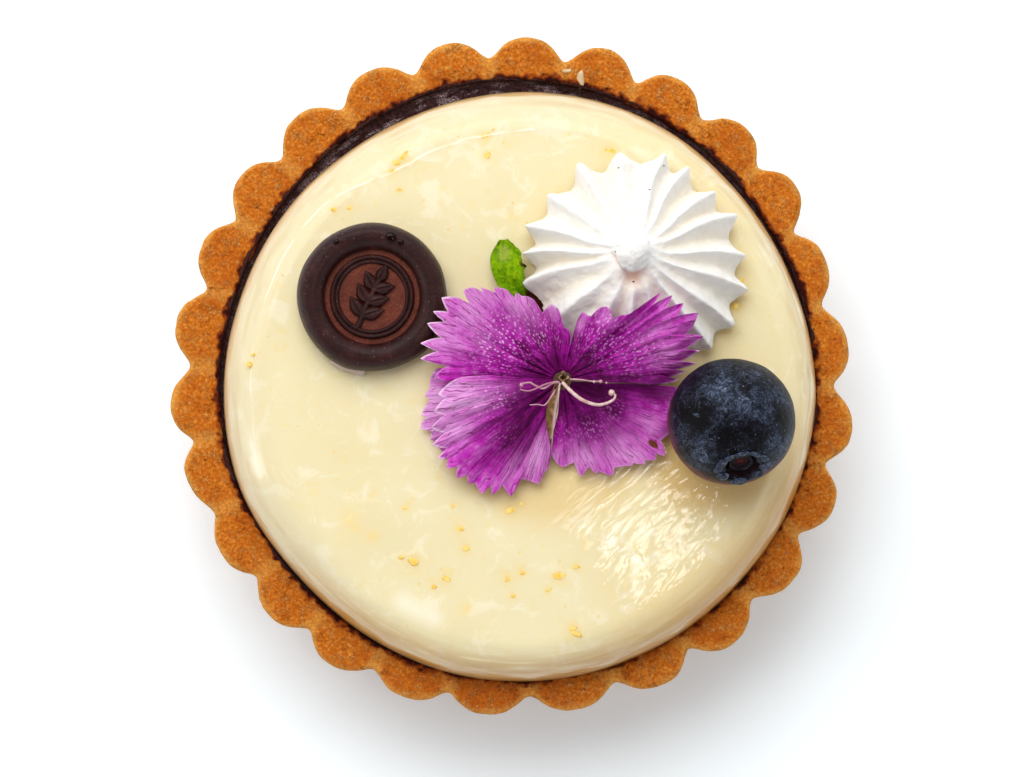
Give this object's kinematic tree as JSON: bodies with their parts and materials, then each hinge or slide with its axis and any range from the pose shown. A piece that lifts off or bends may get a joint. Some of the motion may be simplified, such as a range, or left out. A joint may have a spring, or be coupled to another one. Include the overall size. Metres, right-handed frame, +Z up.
{
  "type": "blueberry tartlet",
  "caption": "Fluted shortcrust tartlet filled with blueberry compote under a disc of lemon cream, topped with a meringue, a blueberry, a chocolate seal and a dianthus flower.",
  "frame": {"origin": "middle of the tartlet's outline, on the surface it stands on", "axes": "+Z up; +X to the right and +Y to the back, as seen from the front with the berry's crown facing forward"},
  "size_m": [0.0846, 0.0846, 0.0423],
  "materials": {
    "crust": "baked, sandy, dull",
    "compote": "wet, lumpy",
    "cream": "smooth, glazed, glossy",
    "chocolate": "satin",
    "meringue": "matt, fine",
    "berry": "waxy bloom over a dark skin",
    "leaf": "satin",
    "calyx": "dull",
    "petal": "veined, velvety",
    "style": "smooth"
  },
  "bodies": {
    "root": {"crust": "crust", "compote": "compote", "cream_disc": "cream", "chocolate_seal": "chocolate", "meringue": "meringue", "blueberry": "berry", "leaf": "leaf", "calyx": "calyx", "sepal": "calyx", "petal_back_left": "petal", "petal_back_right": "petal", "petal_front_left": "petal", "petal_front_right": "petal", "petal_under_left": "petal", "style_curled": "style", "style_short": "style"}
  },
  "joints": []
}
